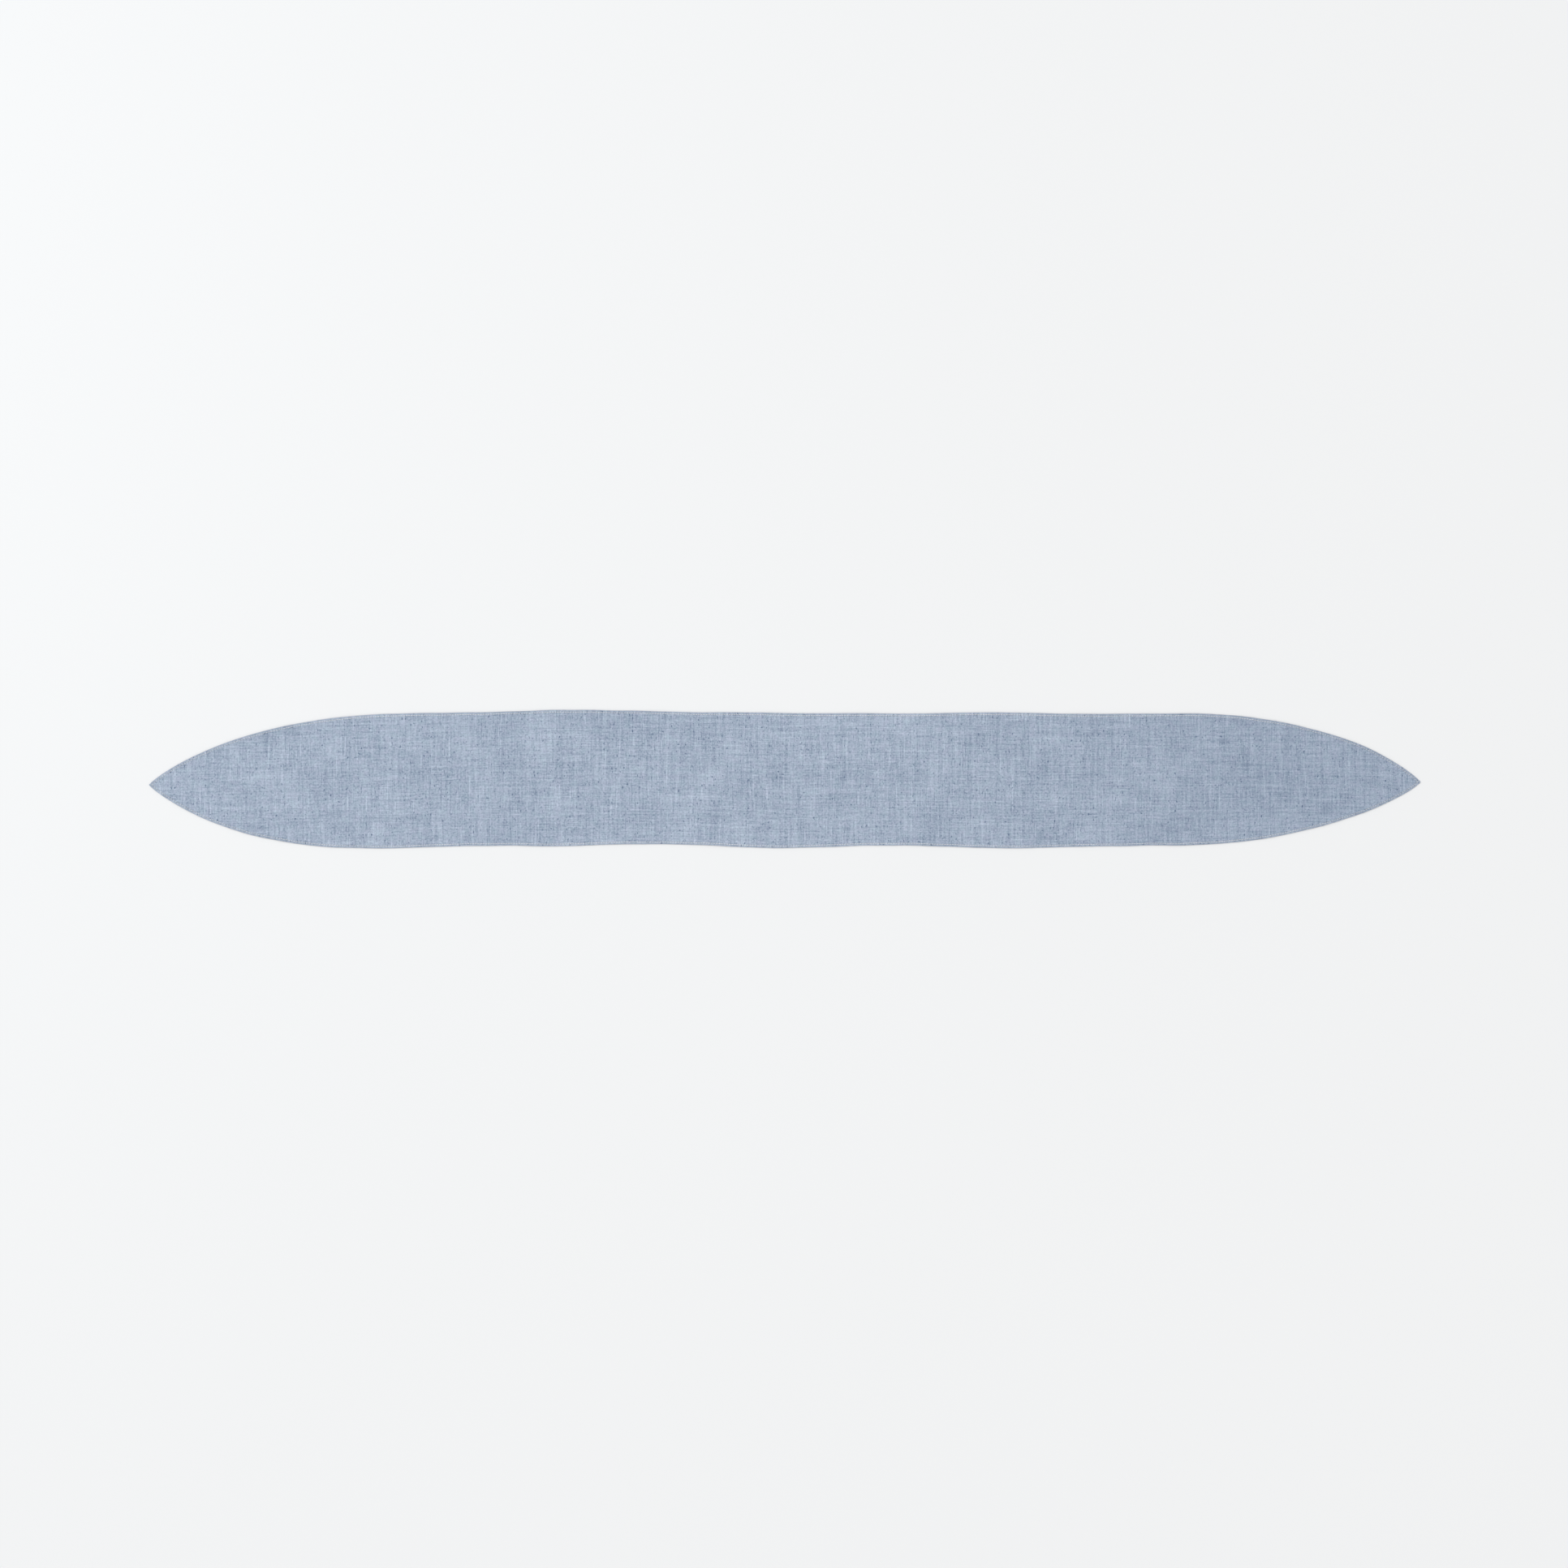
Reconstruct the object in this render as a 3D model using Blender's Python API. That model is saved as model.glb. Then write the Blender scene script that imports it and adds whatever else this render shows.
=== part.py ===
"""Table runner with leaf-shaped ends.

One panel of light cloth whose edge is turned under twice as a narrow hem. Two straight
lockstitch seams, each of a needle thread on the face and a bobbin thread on the underside,
hold the hem down. They run from tip to tip along the front side (-Y) and the back side (+Y).

Metres, +Z up. The runner lies flat with its underside on z = 0. The origin is the middle of
that face, +X runs along the runner and +Y across it.
"""

import math

import bmesh
import bpy

# Outline
LENGTH = 1.800  # tip to tip
WIDTH = 0.189  # across the straight middle
END_LENGTH = 0.355  # of each tapering end
END_FULLNESS = 2.3  # power of the end's curve where it leaves the straight side: higher is fuller
TIP_FULLNESS = 0.85  # power of the end's curve at the tip: lower is blunter
TIP_CHORD = 0.004  # length along X over which an edge's slope is taken

# Cloth and hem
PLY = 0.0004  # one thickness of cloth
FOLD_AIR = 0.0001  # left between two folded plies
HEM_PLIES = 3  # the face and two turns
HEM_WIDTH = 0.0048  # from the folded edge to the hem's inner fold
EDGE_ROUNDING = 0.0003  # of the folded edge

# Seams
STITCH_INSET = 0.0031  # from the folded edge to the seam
THREAD_DIAMETER = 0.0003
THREAD_CLEARANCE = 0.00025  # between a thread and its channel or another thread
THREAD_SINK = 0.0001  # depth of a needle thread's centre below the hem's face
BOBBIN_LIFT = 0.00005  # of a bobbin thread above the surface that the runner lies on
THREAD_END_MARGIN = 0.0006  # from a thread's end to the folded edge
CHANNEL_RUN_OUT = 0.004  # of a channel past the folded edge

END_STATIONS = 16  # along each tapering end
STATION_SPREAD = 1.6  # power that sets the stations closer together at the tip
TUBE_RESOLUTION = 2  # gives a tube 8 sides
CUTTER_OVERSHOOT = 0.002  # of the pocket's cutter above the hem

HEM_THICKNESS = HEM_PLIES * PLY + (HEM_PLIES - 1) * FOLD_AIR

CLOTH_BLUE = (0.371, 0.440, 0.546, 1.0)
THREAD_WHITE = (0.80, 0.79, 0.775, 1.0)


def half_width(x):
    """Half the runner's width at x: full along the straight middle, and none at a tip."""
    reach = max(abs(x) - (LENGTH / 2 - END_LENGTH), 0.0) / END_LENGTH
    return WIDTH / 2 * max(1 - reach**END_FULLNESS, 0.0) ** TIP_FULLNESS


def edge_slope(x):
    """Rise of the back side's edge along +X, over a chord that stays on the runner."""
    end = (LENGTH - TIP_CHORD) / 2
    middle = min(max(x, -end), end)
    rise = half_width(middle + TIP_CHORD / 2) - half_width(middle - TIP_CHORD / 2)
    return rise / TIP_CHORD


def tip_angle():
    """The angle between the two sides at a tip."""
    return 2 * math.atan(edge_slope(-LENGTH / 2))


def side_point(x, inset):
    """The point of the back side at station x, moved in from the folded edge by inset."""
    slope = edge_slope(x)
    run = math.hypot(1, slope)
    return x + inset * slope / run, half_width(x) - inset / run


def stations():
    """Places along X in the tapering ends, closest together at the tips."""
    steps = [(i / END_STATIONS) ** STATION_SPREAD for i in range(END_STATIONS + 1)]
    left = [END_LENGTH * step - LENGTH / 2 for step in steps]
    return left + [-x for x in reversed(left)]


def centre_crossing(near, far):
    """Where the line from near to far meets the runner's centre line."""
    share = near[1] / (near[1] - far[1])
    return near[0] + share * (far[0] - near[0]), 0.0


def side_line(inset):
    """The back side's line at inset, from where it meets the centre line to where it does again."""
    points = [side_point(x, inset) for x in stations()]
    inside = [i for i, point in enumerate(points) if point[1] > THREAD_DIAMETER]
    first, last = inside[0], inside[-1]
    start = centre_crossing(points[first], points[first - 1]) if first else (-LENGTH / 2, 0.0)
    end = centre_crossing(points[last], points[last + 1]) if inset else (LENGTH / 2, 0.0)
    return [start, *points[first : last + 1], end]


def outline(inset):
    """The closed outline of the runner, moved in from the folded edge by inset."""
    back = side_line(inset)
    front = [(x, -y) for x, y in reversed(back[1:-1])]
    return back + front


def lengthened(points, by):
    """The line with each end moved on, or back where by is negative, along its own direction."""
    moved = []
    for end, before in ((points[0], points[1]), (points[-1], points[-2])):
        run = math.dist(end, before)
        moved.append(tuple(e + (e - b) * by / run for e, b in zip(end, before)))
    return [moved[0], *points[1:-1], moved[1]]


def seam_line(side, by):
    """A seam's line on the front (-1) or the back (+1), lengthened past the centre line."""
    return [(x, side * y) for x, y in lengthened(side_line(STITCH_INSET), by)]


def new_collection(name):
    collection = bpy.data.collections.new(name)
    bpy.context.scene.collection.children.link(collection)
    return collection


def new_material(name, colour, roughness):
    material = bpy.data.materials.new(name)
    material.use_nodes = True
    shader = material.node_tree.nodes["Principled BSDF"]
    shader.inputs["Base Color"].default_value = colour
    shader.inputs["Roughness"].default_value = roughness
    shader.inputs["Metallic"].default_value = 0.0
    return material


def add_spline(curve, points, height=0.0, cyclic=False):
    spline = curve.splines.new("POLY")
    spline.points.add(len(points) - 1)
    for spline_point, (x, y) in zip(spline.points, points):
        spline_point.co = (x, y, height, 1.0)
    spline.use_cyclic_u = cyclic


def add_slab(name, collection, points, low, high, rounding=0.0):
    """A flat outline between two heights, as a curve object."""
    curve = bpy.data.curves.new(name, "CURVE")
    curve.dimensions = "2D"
    curve.fill_mode = "BOTH"
    curve.extrude = (high - low) / 2 - rounding
    curve.bevel_depth = rounding
    curve.bevel_resolution = 1
    curve.offset = -rounding
    add_spline(curve, points, cyclic=True)
    slab = bpy.data.objects.new(name, curve)
    slab.location.z = (low + high) / 2
    collection.objects.link(slab)
    return slab


def add_tube(name, collection, points, height, radius):
    """A round thread or cutter along a line at one height, as a curve object."""
    curve = bpy.data.curves.new(name, "CURVE")
    curve.dimensions = "3D"
    curve.bevel_depth = radius
    curve.bevel_resolution = TUBE_RESOLUTION
    curve.use_fill_caps = True
    add_spline(curve, points, height)
    tube = bpy.data.objects.new(name, curve)
    collection.objects.link(tube)
    return tube


def made_mesh(curve_object, collection):
    """A mesh object in place of a curve object, with its loose caps welded."""
    bpy.context.view_layer.update()
    depsgraph = bpy.context.evaluated_depsgraph_get()
    mesh = bpy.data.meshes.new_from_object(curve_object.evaluated_get(depsgraph))
    welded = bmesh.new()
    welded.from_mesh(mesh)
    bmesh.ops.remove_doubles(welded, verts=welded.verts, dist=1e-6)
    welded.to_mesh(mesh)
    welded.free()
    name, place = curve_object.name, curve_object.matrix_world.copy()
    bpy.data.objects.remove(curve_object)
    mesh_object = bpy.data.objects.new(name, mesh)
    mesh_object.matrix_world = place
    collection.objects.link(mesh_object)
    return mesh_object


def cut(target, cutter, cutters):
    cutter = made_mesh(cutter, cutters)
    cutter.hide_render = True
    cutter.display_type = "WIRE"
    boolean = target.modifiers.new(cutter.name, "BOOLEAN")
    boolean.operation = "DIFFERENCE"
    boolean.solver = "MANIFOLD"
    boolean.object = cutter


def thread_height(kind):
    """Height of a thread's centre: pressed into the hem's face, or flush with its underside."""
    if kind == "needle":
        return HEM_THICKNESS - THREAD_SINK
    return THREAD_DIAMETER / 2 + BOBBIN_LIFT


def thread_run(side):
    """How far a seam's threads run past the centre line at each tip.

    The front seam is sewn last, across the back seam and nearly to the back edge. The back
    seam's threads stop just short of it.
    """
    if side < 0:
        return (STITCH_INSET - THREAD_END_MARGIN) / math.sin(tip_angle())
    return -(THREAD_DIAMETER + THREAD_CLEARANCE) / math.sin(tip_angle())


def channel_run(side):
    """The front channels run out through the back edge, and the back ones into the front's."""
    return STITCH_INSET / math.sin(tip_angle()) + CHANNEL_RUN_OUT if side < 0 else 0.0


def add_cloth_panel(parts, cutters, material):
    """The panel on z = 0, one ply thick inside a rim of the hem's folded plies."""
    panel = add_slab("cloth_panel", parts, outline(0.0), 0.0, HEM_THICKNESS, EDGE_ROUNDING)
    panel = made_mesh(panel, parts)
    panel.data.materials.append(material)
    pocket_top = HEM_THICKNESS + CUTTER_OVERSHOOT
    cut(panel, add_slab("pocket", cutters, outline(HEM_WIDTH), PLY, pocket_top), cutters)
    return panel


def add_seam(name, side, parts, cutters, panel, material):
    """A seam's two threads, and the channel that each presses into the hem."""
    for kind in ("needle", "bobbin"):
        height = thread_height(kind)
        radius = THREAD_DIAMETER / 2
        line = seam_line(side, thread_run(side))
        thread = add_tube(f"{kind}_thread_{name}", parts, line, height, radius)
        thread.data.materials.append(material)
        line = seam_line(side, channel_run(side))
        wide = radius + THREAD_CLEARANCE
        cut(panel, add_tube(f"{kind}_channel_{name}", cutters, line, height, wide), cutters)


def build():
    for old in list(bpy.data.objects):
        bpy.data.objects.remove(old)
    parts = new_collection("table_runner")
    cutters = new_collection("cutters")
    cloth = new_material("chambray", CLOTH_BLUE, 0.9)
    panel = add_cloth_panel(parts, cutters, cloth)
    for name, side in (("front", -1), ("back", 1)):
        for_seam = new_material(f"{name}_seam_thread", THREAD_WHITE, 0.75)
        add_seam(name, side, parts, cutters, panel, for_seam)


build()
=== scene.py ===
"""A table runner lying on a table: one long leaf of slubbed chambray, pointed at both ends,
with a narrow hem turned under all round it and sewn down by two lock-stitched seams.

Lengths are in metres. The runner is laid out flat first, folded hem and all, and then lie()
gives its points, and those of its threads, the slight sway and waves of cloth on a table.
"""

import math

import bmesh
import bpy
import numpy as np
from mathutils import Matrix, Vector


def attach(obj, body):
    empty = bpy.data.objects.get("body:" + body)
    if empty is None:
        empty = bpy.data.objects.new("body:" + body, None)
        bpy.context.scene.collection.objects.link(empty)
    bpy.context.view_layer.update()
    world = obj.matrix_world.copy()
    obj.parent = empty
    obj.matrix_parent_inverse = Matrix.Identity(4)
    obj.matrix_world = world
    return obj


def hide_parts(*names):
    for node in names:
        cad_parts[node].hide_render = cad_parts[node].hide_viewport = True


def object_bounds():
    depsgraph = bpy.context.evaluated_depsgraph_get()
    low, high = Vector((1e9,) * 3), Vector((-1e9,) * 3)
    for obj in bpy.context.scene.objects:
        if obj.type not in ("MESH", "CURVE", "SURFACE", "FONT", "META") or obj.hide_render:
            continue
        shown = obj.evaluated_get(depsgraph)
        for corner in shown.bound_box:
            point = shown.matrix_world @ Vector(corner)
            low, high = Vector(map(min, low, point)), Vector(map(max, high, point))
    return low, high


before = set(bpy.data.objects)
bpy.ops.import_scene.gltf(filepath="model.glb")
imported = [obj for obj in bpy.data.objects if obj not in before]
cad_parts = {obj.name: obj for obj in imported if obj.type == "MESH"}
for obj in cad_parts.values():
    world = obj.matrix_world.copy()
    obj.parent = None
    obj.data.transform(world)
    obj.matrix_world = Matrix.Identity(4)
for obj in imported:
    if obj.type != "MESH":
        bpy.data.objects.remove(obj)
CAD_BOX = [list(corner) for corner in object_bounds()]

MM = 0.001
LENGTH = CAD_BOX[1][0] - CAD_BOX[0][0]
WIDTH = CAD_BOX[1][1] - CAD_BOX[0][1]

# The outline, as the CAD draws it
END_LENGTH = 0.355
END_FULLNESS = 2.3
TIP_FULLNESS = 0.85
TIP_CHORD = 0.004

# The hem: the leaf turns under at the folded edge, and its raw edge is tucked back in.
# The heights are of the middle of a ply, before the iron has pressed them.
PLY = 0.4 * MM
LOW_PLY = 0.2 * MM
HIGH_PLY = 1.2 * MM
HEM_WIDTH = 4.6 * MM
HEM_SLOPE_END = 12 * MM  # where the face is down on the table again
TIP_SQUEEZE = 0.92  # share of a tip that the hem may fill, measured to the centre line
PRESSED = 0.70  # share of these heights that the iron leaves
TIP_RISE_RUN = 8 * MM  # the leaf rises over this, where a tip has no room for the slope

# The mesh
ROW_STEP = 2.8 * MM
TIP_ROW_STEP = 0.7 * MM
FACE_COLUMNS = 34
WRONG_SIDE_COLUMNS = 18
FAR_FROM_SEAM = 1.0

# The seams
SEAM_INSET = 3.1 * MM
STITCH_PITCH = 3.63 * MM
THREAD_RADIUS = 0.25 * MM
TWIST_PITCH = 1.8 * MM
THREAD_SIDES = 7
NEEDLE_RINGS = 12
BOBBIN_RINGS = 6
SEAM_OVERRUN = 2.6 * MM  # of the front seam past the back one, at each tip
BACK_SEAM_OVERRUN = 0.6 * MM
STITCH_DRIFT = 0.03 * MM  # of each stitch to one side or the other
NEEDLE_SLANT = 0.09 * MM
BOBBIN_SLANT = -0.05 * MM
NEEDLE_LOW = 1.08 * MM  # where it dives
NEEDLE_RISE = 0.56 * MM
BOBBIN_HIGH = 0.40 * MM
BOBBIN_DIP = 0.21 * MM
CROSSING_LIFT = 0.34 * MM  # of the front needle thread over the back one
PLY_LOBE = 0.16  # how far a twisted ply stands out, as a share of the thread's radius
ABOVE_TABLE = 0.02 * MM  # the bobbin threads' least height

# How the runner lies: places along it, with how far its middle strays towards the back
SWAY = [
    (-0.90, -7.5), (-0.80, -7.8), (-0.70, -6.1), (-0.58, -2.6), (-0.45, 0.4), (-0.33, 2.0),
    (-0.22, 3.0), (-0.10, 0.8), (0.00, -1.4), (0.12, 0.1), (0.22, -0.3), (0.36, -1.3),
    (0.52, -0.1), (0.66, 0.9), (0.74, 1.0), (0.82, 0.3), (0.90, -3.6),
]
# Places along it, with how much wider than its cut width it lies there
SPREAD = [
    (-0.90, 0.0), (-0.80, 2.5), (-0.66, 1.8), (-0.52, 1.2), (-0.41, 0.4), (-0.32, 4.1),
    (-0.22, 0.2), (-0.13, -1.2), (-0.04, 2.5), (0.07, 0.1), (0.16, -2.2), (0.31, 3.3),
    (0.42, -0.8), (0.52, -2.0), (0.64, -2.0), (0.75, -3.4), (0.82, -0.8), (0.90, 0.0),
]
SWELL_HEIGHT = 2.2 * MM
SWELL_DEPTH = 60 * MM
EDGE_WAVE_HEIGHT = 0.45 * MM
EDGE_WAVE_DEPTH = 32 * MM
PUCKER_HEIGHT = 0.22 * MM
PUCKER_DEPTH = 7 * MM
EDGE_SWELL = 0.14  # share of a swell's height that is left at the edge
TIP_RELIEF = 0.35  # share of all the relief that is left at a tip
TIP_RELIEF_RUN = 0.08
EDGE_WANDER = 0.25 * MM  # of each edge, in and out
NARROWEST = 12 * MM  # half width below which a tip moves as one

# The cloth's yarns and colours
YARN_PITCH = 0.5 * MM
BLUE_YARN = (0.084, 0.134, 0.224)
COOL_YARN = (0.580, 0.683, 0.785)
WARM_YARN = (0.620, 0.672, 0.807)
THREAD_WHITE = (0.93, 0.93, 0.925)
FOLD_SHADE_GREY = (0.42, 0.41, 0.44)
HOLE_SHADE = tuple(0.45 * c for c in BLUE_YARN)
HOLE_REACH = 0.75 * MM
FOLD_MIDDLE = 0.1 * MM  # depth past the folded edge, in the flat cut, where the painted fold shade and the paler rim are centred

# The baked images: strips that a long piece is cut into, and a thread's stretch round its girth
CLOTH_BAKE_STRIPS = 3
THREAD_BAKE_STRIPS = 12
THREAD_BAKE_STRETCH = 8

# The stage and the view
TABLE_DROP = 0.05 * MM
TABLE_REACH = 60.0
CAMERA_HEIGHT = 6.0
CAMERA_AIM = (-1.15 * MM, -6.3 * MM)
VIEW_WIDTH = 2.22
SENSOR_WIDTH = 36.0


# ---------------------------------------------------------------- the flat cut

def half_width(x):
    reach = np.maximum(np.abs(x) - (LENGTH / 2 - END_LENGTH), 0.0) / END_LENGTH
    return WIDTH / 2 * np.maximum(1 - reach**END_FULLNESS, 0.0) ** TIP_FULLNESS


def edge_slope(x):
    """Rise of the back edge along +X, over a chord that stays on the runner."""
    middle = np.clip(x, -(LENGTH - TIP_CHORD) / 2, (LENGTH - TIP_CHORD) / 2)
    rise = half_width(middle + TIP_CHORD / 2) - half_width(middle - TIP_CHORD / 2)
    return rise / TIP_CHORD


def edge_point(x, depth):
    """The place that lies depth in from the back edge, square to it, at station x."""
    slope = edge_slope(x)
    run = np.hypot(1, slope)
    return x + depth * slope / run, half_width(x) - depth / run


def row_stations():
    """Stations along the runner, close together at the tips and ROW_STEP apart elsewhere."""
    places = [0.0]
    while places[-1] < LENGTH / 2:
        to_tip = LENGTH / 2 - places[-1]
        step = min(ROW_STEP, TIP_ROW_STEP + 0.06 * to_tip)
        places.append(min(places[-1] + step, LENGTH / 2))
    return np.array([-x for x in reversed(places[1:])] + places)


def between(points, x):
    """A smooth curve through given (place, millimetres) points, read at x, in metres."""
    places, values = np.array(points).T
    slopes = np.gradient(values, places)
    index = np.clip(np.searchsorted(places, x) - 1, 0, len(places) - 2)
    span = places[index + 1] - places[index]
    t = np.clip((x - places[index]) / span, 0, 1)
    start = (2 * t**3 - 3 * t**2 + 1) * values[index] + (t**3 - 2 * t**2 + t) * span * slopes[index]
    end = (3 * t**2 - 2 * t**3) * values[index + 1] + (t**3 - t**2) * span * slopes[index + 1]
    return (start + end) * MM


def smoothstep(x, low, high):
    t = np.clip((x - low) / (high - low), 0, 1)
    return t * t * (3 - 2 * t)


def waves(x, seed, shortest, longest, count=9):
    """Waves of mixed length along x, from about -1 to 1, the same for each seed."""
    random = np.random.default_rng(seed)
    total = 0.0
    for _ in range(count):
        wavelength = shortest * (longest / shortest) ** random.random()
        total = total + np.cos(2 * math.pi * (x / wavelength + random.random()))
    return total / math.sqrt(2 * count)


# ---------------------------------------------------------------- how it lies

def relief(x, y):
    """Height of the laid cloth above the table at a place on the flat cut."""
    reach = half_width(x)
    swell = waves(x + 0.25 * y, 11, 0.14, 0.42) * 0.6 + waves(x - 0.9 * y, 12, 0.11, 0.30) * 0.4
    inside = smoothstep(reach - np.abs(y), 0.0, SWELL_DEPTH)
    height = SWELL_HEIGHT * (0.5 + 0.5 * np.tanh(1.2 * swell))
    height = height * (EDGE_SWELL + (1 - EDGE_SWELL) * inside)
    for side, seed in ((-1, 21), (1, 31)):
        depth = np.maximum(reach - side * y, 0.0)
        near = np.exp(-((depth / EDGE_WAVE_DEPTH) ** 2))
        lift = np.clip(waves(x, seed, 0.055, 0.16) + 0.15, 0, None)
        height = height + EDGE_WAVE_HEIGHT * near * np.tanh(lift)
        near = np.exp(-((depth / PUCKER_DEPTH) ** 2))
        pucker = 0.5 + 0.5 * np.tanh(1.5 * waves(x, seed + 5, 0.013, 0.024))
        height = height + PUCKER_HEIGHT * near * pucker
    to_tip = LENGTH / 2 - np.abs(x)
    return height * (TIP_RELIEF + (1 - TIP_RELIEF) * smoothstep(to_tip, 0.0, TIP_RELIEF_RUN))


def lie(points):
    """The folded points, pressed and moved to where they lie on the table."""
    x, y, z = points.T
    share = y / np.maximum(half_width(x), NARROWEST)
    across = between(SWAY, x) + share * between(SPREAD, x) / 2
    for side, seed in ((-1, 41), (1, 51)):
        wander = waves(x, seed, 0.05, 0.13) * EDGE_WANDER
        across = across + wander * smoothstep(side * share, 0.2, 1.0)
    return np.stack([x, y + across, PRESSED * z + relief(x, y)], axis=1)


# ---------------------------------------------------------------- the folded hem

def hem_path():
    """The middle of the leaf through the folded hem, from the slope inside it to the raw edge.

    Three arrays: the depth in from the folded edge, the height, and the depth in the flat cut,
    which goes on below zero past the fold.
    """
    face = [
        (12.0, 0.20), (10.0, 0.22), (8.4, 0.33), (7.1, 0.58), (6.0, 0.88), (5.1, 1.10),
        (4.5, 1.18), (3.8, 1.20), (3.4, 1.16), (3.1, 1.11), (2.8, 1.16), (2.4, 1.20), (1.5, 1.21),
        (0.75, 1.18),
    ]
    fold = [(0.36, 1.06), (0.20, 0.70), (0.36, 0.34)]
    under = [(0.80, 0.21), (1.6, 0.20), (3.1, 0.26), (4.2, 0.20)]
    tuck = [(4.52, 0.30), (4.60, 0.45), (4.52, 0.60)]
    raw = [(4.2, 0.70), (3.1, 0.70), (1.5, 0.70)]
    path = np.array(face + fold + under + tuck + raw) * MM
    depth, height = path.T
    travel = np.concatenate([[0], np.cumsum(np.hypot(np.diff(depth), np.diff(height)))])
    last = len(face) - 1
    past_face = np.maximum(travel - travel[last], 0)
    flat = np.where(past_face > 0, depth[last] - past_face, depth)
    return depth, height, flat


def hem_section():
    """Both skins of the folded leaf, the face and then the wrong side, as hem_path's arrays.

    The wrong side is mostly hidden, so it keeps only some of the path's points.
    """
    depth, height, flat = hem_path()
    along = np.stack([np.gradient(depth), np.gradient(height)])
    along /= np.hypot(*along)
    out = np.stack([along[1], -along[0]]) * PLY / 2
    out[:, 0] = (0.0, PLY / 2)
    face = (depth + out[0], height + out[1], flat)
    last = len(depth) - 1
    kept = np.unique([0, 2, 4, 6, 9, *range(12, last, 2), last])
    wrong = ((depth - out[0])[kept], (height - out[1])[kept], flat[kept])
    return face, wrong


def cloth_columns():
    """The leaf's closed section, as arrays over its columns, from the back hem round to it again.

    skin is 1 on the face and -1 on the wrong side. side is 1 in the back hem, -1 in the front
    hem and 0 between them, where share says how far along a column lies, from -1 to 1. depth,
    height and flat are hem_path's.
    """
    face, wrong = hem_section()
    columns = []
    for skin, first, section, count in (
        (1, 1, face, FACE_COLUMNS), (-1, -1, wrong, WRONG_SIDE_COLUMNS)
    ):
        hem = list(zip(*section))
        height = LOW_PLY + skin * PLY / 2
        columns += [(skin, first, *point, first) for point in reversed(hem)]
        for share in np.linspace(first, -first, count + 2)[1:-1]:
            columns.append((skin, 0, HEM_SLOPE_END, height, HEM_SLOPE_END, share))
        columns += [(skin, -first, *point, -first) for point in hem]
    return np.array(columns).T


def depth_to_middle(x):
    """Distance from the edge to the centre line, square to the edge, at station x."""
    return half_width(x) * np.hypot(1, edge_slope(x))


def cloth_points():
    """The leaf's points, by row and column.

    Three arrays: each point's place as folded, its place in the flat cut, and its travel along
    the seam with its depth in from the folded edge.
    """
    skin, side, depth, height, flat, share = cloth_columns()
    x = row_stations()[:, None]
    # Near a tip, the hem and the slope inside it are squeezed into the room that is left
    middle = depth_to_middle(x)
    hem_end = np.minimum(TIP_SQUEEZE * middle, HEM_WIDTH)
    slope_end = np.minimum(TIP_SQUEEZE * middle, HEM_SLOPE_END)
    in_hem = depth * hem_end / HEM_WIDTH
    down_slope = (depth - HEM_WIDTH) / (HEM_SLOPE_END - HEM_WIDTH)
    squeezed = np.where(depth <= HEM_WIDTH, in_hem, hem_end + down_slope * (slope_end - hem_end))
    hem_x, hem_y = edge_point(x, squeezed)
    end_x, end_y = edge_point(x, slope_end)
    open_leaf = side == 0
    px = np.where(open_leaf, end_x, hem_x)
    py = np.where(open_leaf, share * end_y, side * hem_y)
    # With no room to slope down, the leaf stays up at the height of the hem's face
    raised = smoothstep(HEM_SLOPE_END + 2 * MM - middle, 0, TIP_RISE_RUN)
    hem_face = HIGH_PLY + skin * PLY / 2
    past_hem = (depth > HEM_WIDTH) & (flat > 0)
    pz = np.where(past_hem, height + raised * (hem_face - height), height)
    cut_x, cut_y = edge_point(x, np.where(flat > 0, squeezed, flat * hem_end / HEM_WIDTH))
    cut_x = np.where(open_leaf, px, cut_x)
    cut_y = np.where(open_leaf, py, side * cut_y)
    travel = np.broadcast_to(seam_travel(x), px.shape)
    from_fold = np.broadcast_to(np.where(open_leaf, FAR_FROM_SEAM, flat), px.shape)
    folded = np.stack([px, py, pz], axis=-1)
    return folded, np.stack([cut_x, cut_y], axis=-1), np.stack([travel, from_fold], axis=-1)


# ---------------------------------------------------------------- seams

def seam_line():
    """The back seam's line on the flat cut, from tip to tip, as dense points and their travel."""
    x = np.linspace(-LENGTH / 2, LENGTH / 2, 3601)
    px, py = edge_point(x, SEAM_INSET)
    inside = py > 0
    px, py, x = px[inside], py[inside], x[inside]
    travel = np.concatenate([[0], np.cumsum(np.hypot(np.diff(px), np.diff(py)))])
    return px, py, travel - travel[-1] / 2, x


SEAM_X, SEAM_Y, SEAM_TRAVEL, SEAM_STATION = seam_line()


def seam_travel(x):
    return np.interp(x, SEAM_STATION, SEAM_TRAVEL)


def seam_point(travel, side):
    """Where the seam's line is at a travel from its middle, straight on past its ends."""
    ends = (SEAM_TRAVEL[0], SEAM_TRAVEL[-1])
    held = np.clip(travel, *ends)
    x = np.interp(held, SEAM_TRAVEL, SEAM_X)
    y = np.interp(held, SEAM_TRAVEL, SEAM_Y)
    step = 0.2 * MM
    before = np.clip(held - step, *ends)
    after = np.clip(held + step, *ends)
    tangent = np.stack([
        np.interp(after, SEAM_TRAVEL, SEAM_X) - np.interp(before, SEAM_TRAVEL, SEAM_X),
        np.interp(after, SEAM_TRAVEL, SEAM_Y) - np.interp(before, SEAM_TRAVEL, SEAM_Y),
    ])
    tangent /= np.hypot(*tangent)
    beyond = travel - held
    x = x + tangent[0] * beyond
    y = y + tangent[1] * beyond
    return x, side * y, tangent[0], side * tangent[1]


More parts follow.
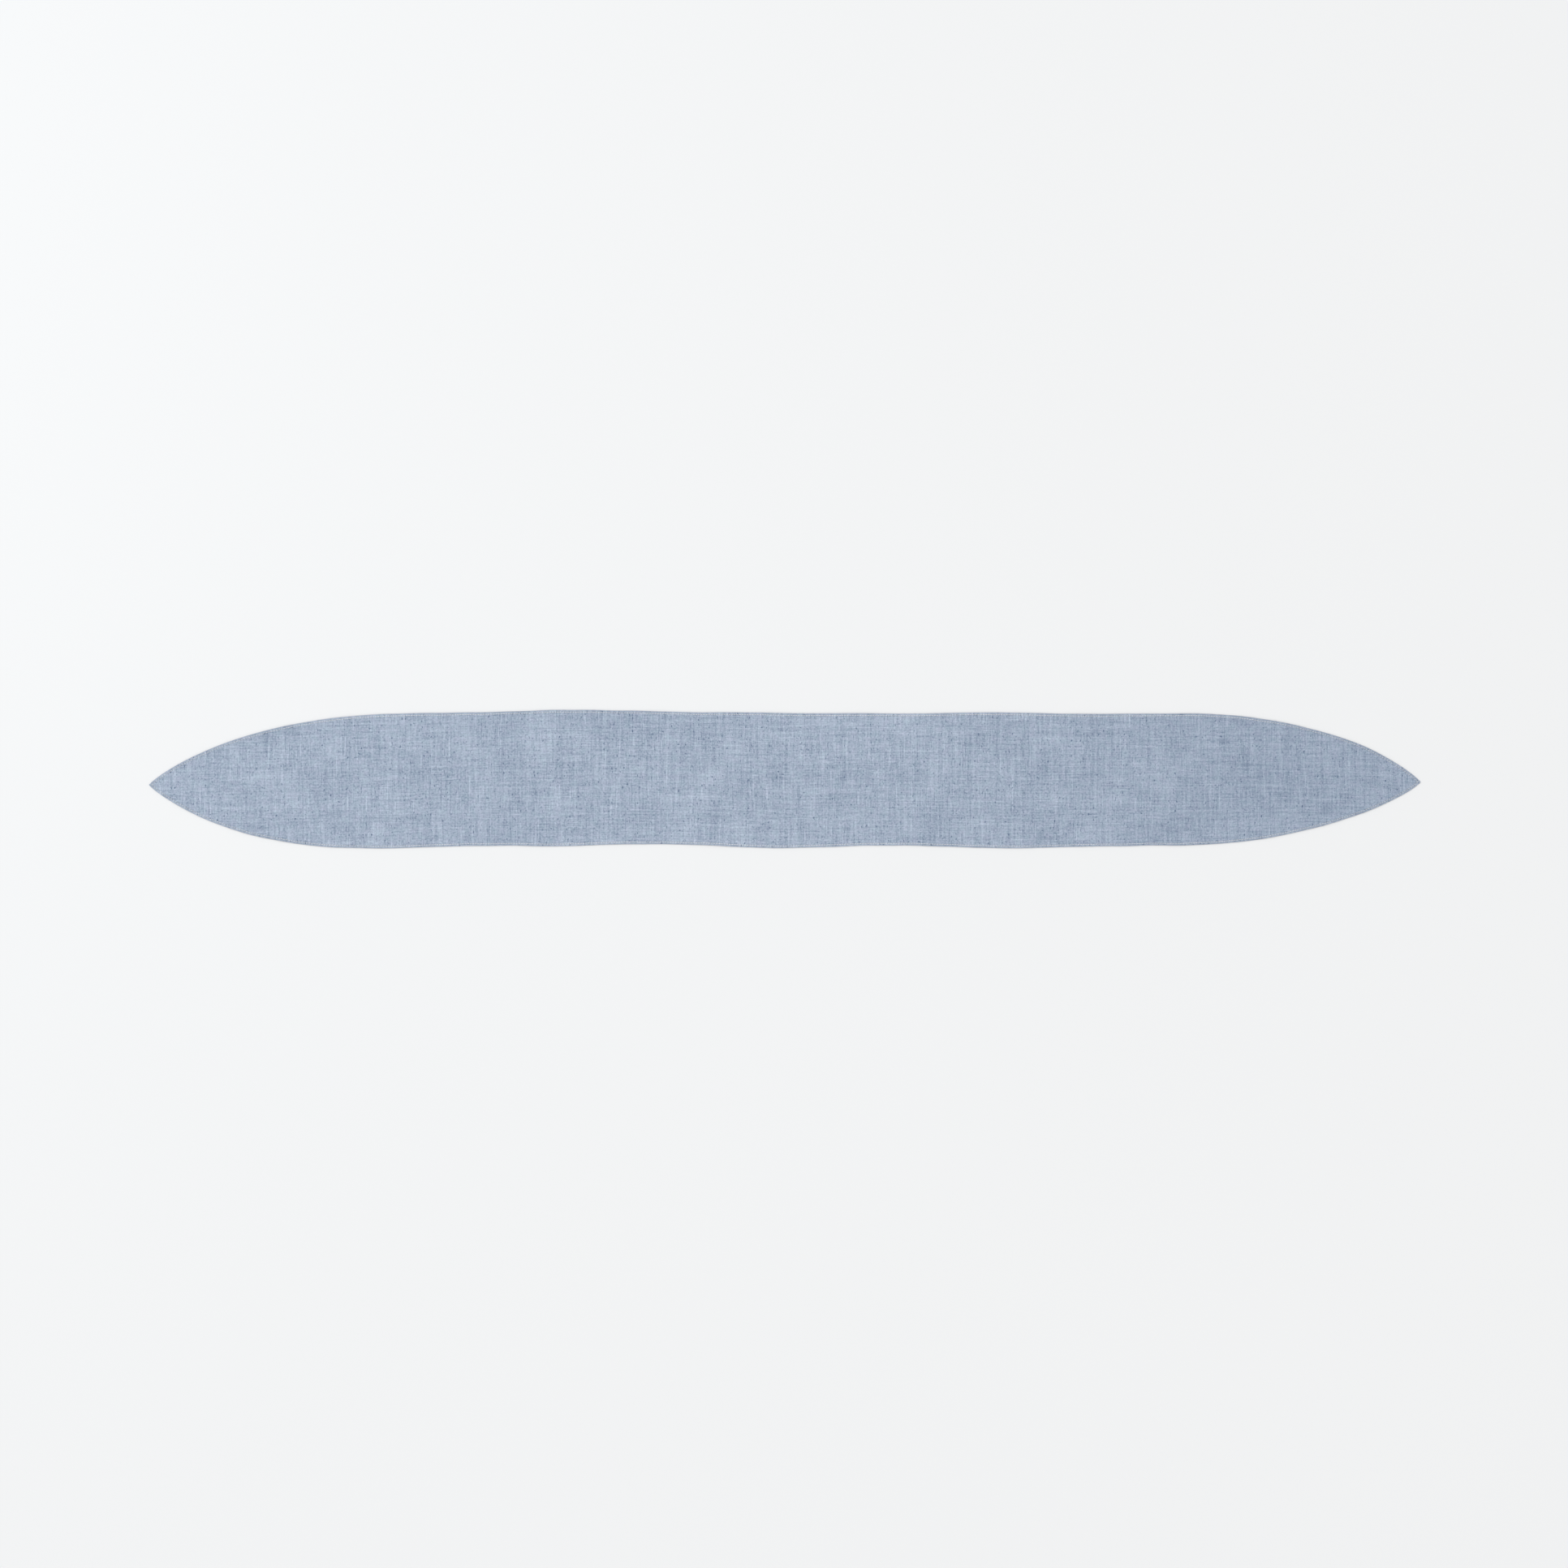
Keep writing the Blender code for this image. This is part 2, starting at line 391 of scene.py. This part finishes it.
def thread_path(kind, side):
    """Centre points of one thread, its travel along the seam, and the direction across it."""
    reach = SEAM_TRAVEL[-1] + (SEAM_OVERRUN if side < 0 else BACK_SEAM_OVERRUN)
    rings = NEEDLE_RINGS if kind == "needle" else BOBBIN_RINGS
    steps = int(reach / STITCH_PITCH * rings)
    travel = np.arange(-steps, steps + 1) / rings * STITCH_PITCH
    phase = (travel / STITCH_PITCH) % 1.0
    swing = 2 * phase - 1
    x, y, along_x, along_y = seam_point(travel, side)
    random = np.random.default_rng(61 if side < 0 else 62)
    stitch = np.floor(travel / STITCH_PITCH).astype(int) + steps
    drift = random.normal(0, STITCH_DRIFT, stitch.max() + 1)[stitch]
    slant = NEEDLE_SLANT if kind == "needle" else BOBBIN_SLANT
    across = slant * swing * (1 - swing**8) + drift * (1 - swing**4)
    x = x - along_y * across
    y = y + along_x * across
    arch = 1 - np.abs(swing) ** 3.5
    if kind == "needle":
        z = NEEDLE_LOW + NEEDLE_RISE * arch + CROSSING_LIFT * tip_crossing(x, side)
    else:
        z = BOBBIN_HIGH - BOBBIN_DIP * arch
    return np.stack([x, y, z], axis=1), travel, np.stack([-along_y, along_x], axis=1)


def tip_crossing(x, side):
    """1 where the front seam passes over the back one, at each tip."""
    if side > 0:
        return 0.0
    return smoothstep(np.abs(x), SEAM_X[-1] - 1.6 * MM, SEAM_X[-1] - 0.3 * MM)


# ---------------------------------------------------------------- meshes

def mesh_object(name, points, faces, uv_layers):
    """A smooth mesh object; each uv layer is an array with one row for each face corner."""
    mesh = bpy.data.meshes.new(name)
    mesh.from_pydata(points.tolist(), [], faces.tolist())
    for layer_name, corners in uv_layers.items():
        layer = mesh.uv_layers.new(name=layer_name)
        layer.data.foreach_set("uv", np.asarray(corners, float).ravel())
    mesh.polygons.foreach_set("use_smooth", [True] * len(mesh.polygons))
    mesh.update()
    made = bpy.data.objects.new(name, mesh)
    bpy.context.scene.collection.objects.link(made)
    return made


def bake_place(along, across, low, high, rows):
    """Packs a long strip, along from low to high, into stacked rows of a square image.

    along and across have one value for each corner of each face. A face goes whole into the
    row that its middle falls in.
    """
    row_length = (high - low) / rows
    middle = along.mean(axis=1)
    row = np.clip(((middle - low) / row_length).astype(int), 0, rows - 1)
    lift = (across.max() - across.min()) * 1.03
    size = max(row_length * 1.02, lift * rows)
    u = (along - low - row[:, None] * row_length + 0.01 * row_length) / size
    v = (across - across.min() + row[:, None] * lift + 0.01 * lift) / size
    return np.stack([u, v], axis=-1)


def make_cloth():
    position, flat, seam = cloth_points()
    rows, columns = position.shape[:2]
    laid = lie(position.reshape(-1, 3))
    row, column = np.meshgrid(np.arange(rows - 1), np.arange(columns), indexing="ij")
    after = (column + 1) % columns
    quads = np.stack([
        row * columns + column, (row + 1) * columns + column,
        (row + 1) * columns + after, row * columns + after,
    ], axis=-1).reshape(-1, 4)
    flat_corners = flat.reshape(-1, 2)[quads]
    seam_corners = seam.reshape(-1, 2)[quads]
    low, high = flat[..., 0].min(), flat[..., 0].max()
    bake = bake_place(
        flat_corners[..., 0], flat_corners[..., 1], low, high, CLOTH_BAKE_STRIPS
    )
    cloth = mesh_object("chambray_leaf", laid, quads, {
        "flat_cloth": flat_corners,
        "seam_place": seam_corners,
        "OFBake": bake,
    })
    close_ends(cloth.data, rows, columns)
    return cloth


def close_ends(mesh, rows, columns):
    """Caps the loop at each end, so that the mesh is one closed surface."""
    work = bmesh.new()
    work.from_mesh(mesh)
    work.verts.ensure_lookup_table()
    for first in (0, (rows - 1) * columns):
        ring = [work.verts[first + i] for i in range(columns)]
        edges = {edge for vertex in ring for edge in vertex.link_edges if edge.is_boundary}
        bmesh.ops.contextual_create(work, geom=list(edges))
    bmesh.ops.recalc_face_normals(work, faces=work.faces)
    work.to_mesh(mesh)
    work.free()


def make_thread(kind, side_name, side):
    """One sewing thread: two plies twisted together, swept along its stitches."""
    path, travel, across = thread_path(kind, side)
    laid = lie(path)
    turn = 2 * math.pi * travel / TWIST_PITCH
    along = np.gradient(laid, axis=0)
    along /= np.linalg.norm(along, axis=1)[:, None]
    sideways = np.concatenate([across, np.zeros((len(across), 1))], axis=1)
    sideways -= along * np.sum(sideways * along, axis=1)[:, None]
    sideways /= np.linalg.norm(sideways, axis=1)[:, None]
    upward = np.cross(along, sideways)
    sides = THREAD_SIDES if kind == "needle" else THREAD_SIDES - 2
    angle = 2 * math.pi * np.arange(sides) / sides
    radius = THREAD_RADIUS * (1 + PLY_LOBE * np.cos(2 * (angle[None, :] - turn[:, None])))
    ring = (
        sideways[:, None, :] * (radius * np.cos(angle))[..., None]
        + upward[:, None, :] * (radius * np.sin(angle))[..., None]
    )
    points = laid[:, None, :] + ring
    if kind == "bobbin":
        points[..., 2] = np.maximum(points[..., 2], ABOVE_TABLE)
    rings = len(laid)
    i, j = np.meshgrid(np.arange(rings - 1), np.arange(sides), indexing="ij")
    after = (j + 1) % sides
    quads = np.stack([
        i * sides + j, i * sides + after, (i + 1) * sides + after, (i + 1) * sides + j,
    ], axis=-1).reshape(-1, 4)
    along_uv = np.stack([i, i, i + 1, i + 1], axis=-1).reshape(-1, 4)
    round_uv = np.stack([j, j + 1, j + 1, j], axis=-1).reshape(-1, 4) / sides
    thread_uv = np.stack([travel[along_uv], round_uv], axis=-1)
    girth = round_uv * 2 * math.pi * THREAD_RADIUS * THREAD_BAKE_STRETCH
    bake = bake_place(travel[along_uv], girth, travel[0], travel[-1], THREAD_BAKE_STRIPS)
    thread = mesh_object(f"{kind}_stitches_{side_name}", points.reshape(-1, 3), quads, {
        "thread_place": thread_uv,
        "OFBake": bake,
    })
    close_ends(thread.data, rings, sides)
    return thread


# ---------------------------------------------------------------- materials

class Nodes:
    """Short calls that wire up one material's nodes."""

    def __init__(self, name):
        self.material = bpy.data.materials.new(name)
        self.material.use_nodes = True
        self.tree = self.material.node_tree
        self.shader = self.tree.nodes["Principled BSDF"]

    def put(self, value, socket):
        if isinstance(value, bpy.types.NodeSocket):
            self.tree.links.new(value, socket)
        else:
            socket.default_value = value

    def node(self, kind, inputs=(), **settings):
        made = self.tree.nodes.new(kind)
        for key, value in settings.items():
            setattr(made, key, value)
        for key, value in dict(inputs).items():
            self.put(value, made.inputs[key])
        return made

    def math(self, operation, first, second=0.0, third=0.0, clamp=False):
        made = self.node("ShaderNodeMath", operation=operation, use_clamp=clamp)
        for value, socket in zip((first, second, third), made.inputs):
            self.put(value, socket)
        return made.outputs[0]

    def uv(self, layer):
        return self.node("ShaderNodeUVMap", uv_map=layer).outputs[0]

    def split(self, vector):
        made = self.node("ShaderNodeSeparateXYZ", {0: vector})
        return made.outputs[0], made.outputs[1]

    def place(self, x, y):
        return self.node("ShaderNodeCombineXYZ", {0: x, 1: y}).outputs[0]

    def blend(self, factor, first, second):
        """first where factor is 0, second where it is 1."""
        inputs = {0: factor, 2: first, 3: second}
        return self.node("ShaderNodeMix", inputs, data_type="FLOAT").outputs[0]

    def stretched(self, vector, size_x, size_y, shift=0.0):
        """vector in units of a pattern that is size_x by size_y metres."""
        made = self.node("ShaderNodeVectorMath", {0: vector}, operation="MULTIPLY_ADD")
        made.inputs[1].default_value = (1 / size_x, 1 / size_y, 1.0)
        made.inputs[2].default_value = (shift, 1.7 * shift, 0.0)
        return made.outputs[0]

    def noise(self, vector, size_x, size_y, shift=0.0, detail=2.0, roughness=0.5):
        """Smooth noise from -1 to 1, in blotches of about size_x by size_y metres."""
        made = self.node(
            "ShaderNodeTexNoise",
            {"Vector": self.stretched(vector, size_x, size_y, shift), "Scale": 1.0,
             "Detail": detail, "Roughness": roughness},
            noise_dimensions="2D",
        )
        return self.math("MULTIPLY_ADD", made.outputs["Fac"], 2.0, -1.0)

    def ramp(self, value, low, high):
        """A smooth step from 0 at low to 1 at high, either of which may be the greater."""
        made = self.node(
            "ShaderNodeMapRange", {"Value": value, "From Min": low, "From Max": high},
            interpolation_type="SMOOTHSTEP",
        )
        return made.outputs[0]

    def total(self, *terms):
        """The sum of (value, weight) terms."""
        result = 0.0
        for value, weight in terms:
            result = self.math("MULTIPLY_ADD", value, weight, result)
        return result

    def mix(self, factor, first, second):
        made = self.node("ShaderNodeMix", {"Factor": factor}, data_type="RGBA")
        for value, socket in ((first, made.inputs[6]), (second, made.inputs[7])):
            self.put((*value, 1.0) if isinstance(value, tuple) else value, socket)
        return made.outputs[2]

    def bump(self, height, distance, strength=1.0):
        inputs = {"Height": height, "Distance": distance, "Strength": strength}
        return self.node("ShaderNodeBump", inputs).outputs[0]

    def finish(self, colour, roughness, normal):
        self.put(colour, self.shader.inputs["Base Color"])
        self.put(roughness, self.shader.inputs["Roughness"])
        self.put(normal, self.shader.inputs["Normal"])
        return self.material


def chambray():
    """Plain weave of blue warp and white weft, with slubs both ways, mottling and dark neps."""
    n = Nodes("chambray")
    flat = n.uv("flat_cloth")
    x, y = n.split(flat)
    # The yarns wander a little, so their grid is never quite regular
    warp_place = n.total((x, 1 / YARN_PITCH), (n.noise(flat, 0.009, 0.03, 3.1), 0.35))
    weft_place = n.total((y, 1 / YARN_PITCH), (n.noise(flat, 0.03, 0.009, 5.3), 0.35))
    warp_wave = n.math("SINE", n.math("MULTIPLY", warp_place, math.pi))
    weft_wave = n.math("SINE", n.math("MULTIPLY", weft_place, math.pi))
    over = n.math("MULTIPLY", warp_wave, weft_wave)
    warp_on_top = n.ramp(over, -0.25, 0.25)
    # Each yarn keeps its own tone: a place on it counts only along its length
    on_warp = n.place(n.math("MULTIPLY", n.math("FLOOR", warp_place), YARN_PITCH), y)
    on_weft = n.place(x, n.math("MULTIPLY", n.math("FLOOR", weft_place), YARN_PITCH))
    warp_slub = n.noise(on_warp, 0.0017, 0.042, 11.3, detail=4.0, roughness=0.72)
    dark_slub = n.ramp(n.noise(on_warp, 0.0019, 0.022, 19.7, detail=1.0), 0.36, 0.60)
    pale_slub = n.ramp(n.noise(on_warp, 0.0017, 0.060, 29.9, detail=1.0), 0.38, 0.58)
    patch = n.noise(flat, 0.015, 0.019, 37.1, detail=2.0)
    nep = n.ramp(n.noise(flat, 0.0024, 0.0044, 23.3, detail=1.0), 0.42, 0.56)
    nep = n.math("MULTIPLY", nep, n.ramp(patch, 0.35, -0.40))
    weft_slub = n.noise(on_weft, 0.048, 0.0017, 7.7, detail=4.0, roughness=0.72)
    weft_end = n.ramp(n.noise(on_weft, 0.045, 0.0022, 17.1, detail=1.0), 0.36, 0.60)
    warp_tone = n.total((warp_slub, 0.37), (dark_slub, -0.20), (pale_slub, 0.31), (nep, -1.5))
    weft_tone = n.total((weft_slub, 0.36), (weft_end, 0.24), (nep, -0.9))
    # Neighbouring yarns from one cone make faint bars, both ways
    bars = n.total(
        (n.noise(on_warp, 0.0042, 0.150, 53.1, detail=2.0), 0.13),
        (n.noise(on_weft, 0.190, 0.0040, 59.3, detail=2.0), 0.095),
    )
    # What both yarns share
    fine = n.noise(flat, 0.0030, 0.0026, 2.9, detail=3.0, roughness=0.75)
    mottle = n.noise(flat, 0.060, 0.080, 13.9, detail=2.0)
    # Along the folded edge the cloth is a little paler, partly faded dye and partly painted light that
    # lifts the rim's shade; on the fold itself it is greyer and darker, as painted shade of the rounded
    # fold
    travel, depth = n.split(n.uv("seam_place"))
    from_fold = n.math("ABSOLUTE", n.total((depth, 1.0), (1.0, FOLD_MIDDLE)))
    rim_fade_and_light = n.ramp(from_fold, 2.2 * MM, 0.4 * MM)
    fold_shade = n.ramp(from_fold, 1.3 * MM, 0.3 * MM)
    whiteness = n.total(
        (n.blend(warp_on_top, weft_tone, warp_tone), 1.52), (warp_on_top, -0.34), (fine, 0.40),
        (mottle, 0.10), (patch, 0.07), (bars, 1.0), (rim_fade_and_light, 0.04), (1.0, 0.700),
    )
    # The undyed yarn is a little warmer in places
    warmth = n.noise(flat, 0.011, 0.009, 43.7, detail=3.0)
    undyed = n.mix(n.total((warmth, 1.0), (1.0, 0.5)), COOL_YARN, WARM_YARN)
    colour = n.mix(n.math("MAXIMUM", whiteness, 0.0, clamp=True), BLUE_YARN, undyed)
    # Painted shade: the cloth darkens towards the +X end, standing in for light that falls off along
    # the runner
    falloff_shade = n.ramp(x, 0.10, 0.80)
    colour = n.mix(n.math("MULTIPLY", falloff_shade, 0.16), colour, BLUE_YARN)
    # Painted shade: the fold itself is greyed and darkened
    colour = n.mix(n.math("MULTIPLY", fold_shade, 0.45), colour, FOLD_SHADE_GREY)
    # The needle's holes: dimples in the bump, and painted shade that darkens the cloth in each hole
    beside = n.math("ABSOLUTE", n.total((depth, 1 / HOLE_REACH), (1.0, -SEAM_INSET / HOLE_REACH)))
    on_seam = n.ramp(beside, 1.0, 0.2)
    stitch_wave = n.math("COSINE", n.math("MULTIPLY", travel, 2 * math.pi / STITCH_PITCH))
    hole_dimple_and_shade = n.math("MULTIPLY", n.ramp(stitch_wave, 0.30, 0.85), on_seam)
    colour = n.mix(n.math("MULTIPLY", hole_dimple_and_shade, 0.9), colour, HOLE_SHADE)
    yarn_height = n.math("ABSOLUTE", over)
    height = n.total(
        (yarn_height, 0.9), (weft_slub, 0.4), (warp_slub, 0.4), (weft_end, 0.5), (dark_slub, 0.4),
        (nep, 0.6), (fine, 0.3), (hole_dimple_and_shade, -1.6), (on_seam, -0.5),
    )
    roughness = n.total((fine, 0.03), (mottle, 0.02), (over, 0.02), (1.0, 0.88))
    n.shader.inputs["Sheen Weight"].default_value = 0.12
    n.shader.inputs["Sheen Roughness"].default_value = 0.55
    n.shader.inputs["Specular IOR Level"].default_value = 0.25
    return n.finish(colour, roughness, n.bump(height, 0.07 * MM, 0.8))


def sewing_thread(name, shift):
    """Soft spun cotton, in two plies, with random tone, and painted shade where it dives, towards each
    tip and in the grooves between its plies.
    """
    n = Nodes(name)
    place = n.uv("thread_place")
    travel, turn = n.split(place)
    twist = n.total((travel, 2 / TWIST_PITCH), (turn, -2.0))
    # In the bump, ply is the plies' relief; in the colour it is painted light and shade, lighter on
    # their crowns and darker in the grooves
    ply = n.math("SINE", n.math("MULTIPLY", twist, 2 * math.pi))
    tone = n.noise(place, 0.011, 4.0, shift, detail=3.0)
    fibre = n.noise(place, 0.0005, 0.12, shift + 4.0, detail=2.0)
    stitch = n.math("COSINE", n.math("MULTIPLY", travel, 2 * math.pi / STITCH_PITCH))
    # Painted shade: the thread darkens where it dives into the cloth
    dive_shade = n.ramp(stitch, 0.30, 0.95)
    # Painted shade: towards each tip, where the hem turns across the weave and the stitches have sunk
    # deeper, the thread is darker
    tip_shade = n.ramp(n.math("ABSOLUTE", travel), 0.58, 0.84)
    light = n.total((tone, 0.18), (fibre, 0.22), (ply, 0.14), (dive_shade, -0.52), (tip_shade, -0.30), (1.0, 0.95))
    colour = n.mix(n.math("MAXIMUM", light, 0.0, clamp=True), (0.30, 0.33, 0.37), THREAD_WHITE)
    height = n.total((ply, 0.8), (fibre, 0.5))
    roughness = n.total((fibre, 0.05), (tone, 0.03), (1.0, 0.72))
    n.shader.inputs["Sheen Weight"].default_value = 0.1
    n.shader.inputs["Specular IOR Level"].default_value = 0.3
    return n.finish(colour, roughness, n.bump(height, 0.03 * MM, 0.6))


def table_top():
    """Plain pale matt table, with the faintest unevenness."""
    n = Nodes("table_top")
    place = n.node("ShaderNodeTexCoord").outputs["Object"]
    cloud = n.noise(place, 0.7, 0.9, 1.3, detail=2.0)
    colour = n.mix(n.total((cloud, 0.5), (1.0, 0.5)), (0.870, 0.873, 0.876), (0.876, 0.879, 0.882))
    n.shader.inputs["Specular IOR Level"].default_value = 0.0
    return n.finish(colour, 0.9, n.bump(cloud, 0.05 * MM, 0.1))


# ---------------------------------------------------------------- the stage

def make_table():
    corners = [(TABLE_REACH * x, TABLE_REACH * y, 0) for x, y in ((-1, -1), (1, -1), (1, 1), (-1, 1))]
    mesh = bpy.data.meshes.new("table_top")
    mesh.from_pydata(corners, [], [(0, 1, 2, 3)])
    table = bpy.data.objects.new("table_top", mesh)
    table.location.z = -TABLE_DROP
    bpy.context.scene.collection.objects.link(table)
    table.data.materials.append(table_top())


def make_lights():
    """A soft studio: even pale light from all round, a broad sun and a little more from the left."""
    world = bpy.data.worlds.new("studio")
    bpy.context.scene.world = world
    world.use_nodes = True
    tree = world.node_tree
    dome = tree.nodes["Background"]
    dome.inputs["Color"].default_value = (0.995, 0.998, 1.0, 1.0)
    dome.inputs["Strength"].default_value = 0.86
    seen = tree.nodes.new("ShaderNodeBackground")
    seen.inputs["Color"].default_value = (0.80, 0.81, 0.82, 1.0)
    seen.inputs["Strength"].default_value = 1.0
    path = tree.nodes.new("ShaderNodeLightPath")
    either = tree.nodes.new("ShaderNodeMixShader")
    tree.links.new(path.outputs["Is Camera Ray"], either.inputs[0])
    tree.links.new(dome.outputs[0], either.inputs[1])
    tree.links.new(seen.outputs[0], either.inputs[2])
    tree.links.new(either.outputs[0], tree.nodes["World Output"].inputs["Surface"])
    sun = bpy.data.lights.new("sun", "SUN")
    sun.energy = 0.5
    sun.angle = math.radians(60)
    placed = bpy.data.objects.new("sun", sun)
    placed.rotation_euler = (math.radians(-20), math.radians(-30), 0.0)
    bpy.context.scene.collection.objects.link(placed)
    panel = bpy.data.lights.new("panel", "AREA")
    panel.shape = "DISK"
    panel.size = 1.8
    panel.energy = 8.0
    panel.color = (0.86, 0.95, 1.0)
    placed = bpy.data.objects.new("panel", panel)
    placed.location = (-2.1, 1.1, 2.1)
    placed.rotation_euler = (math.radians(-24), math.radians(-42), 0.0)
    bpy.context.scene.collection.objects.link(placed)


def make_camera():
    """Straight above the runner, with its length level across the view."""
    camera = bpy.data.cameras.new("camera")
    camera.sensor_width = SENSOR_WIDTH
    camera.lens = SENSOR_WIDTH * CAMERA_HEIGHT / VIEW_WIDTH
    camera.clip_end = 200.0
    placed = bpy.data.objects.new("camera", camera)
    placed.location = (*CAMERA_AIM, CAMERA_HEIGHT)
    bpy.context.scene.collection.objects.link(placed)
    bpy.context.scene.camera = placed


# ---------------------------------------------------------------- the runner

make_camera()
make_lights()
make_table()

cloth = make_cloth()
cloth.data.materials.append(chambray())
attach(cloth, "root")
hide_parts("cloth_panel")

for side_name, side in (("front", -1), ("back", 1)):
    material = sewing_thread(f"{side_name}_seam_thread", 5.0 if side > 0 else 9.0)
    for kind in ("needle", "bobbin"):
        thread = make_thread(kind, side_name, side)
        thread.data.materials.append(material)
        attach(thread, "root")
        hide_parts(f"{kind}_thread_{side_name}")

bpy.context.scene.view_settings.view_transform = "Standard"
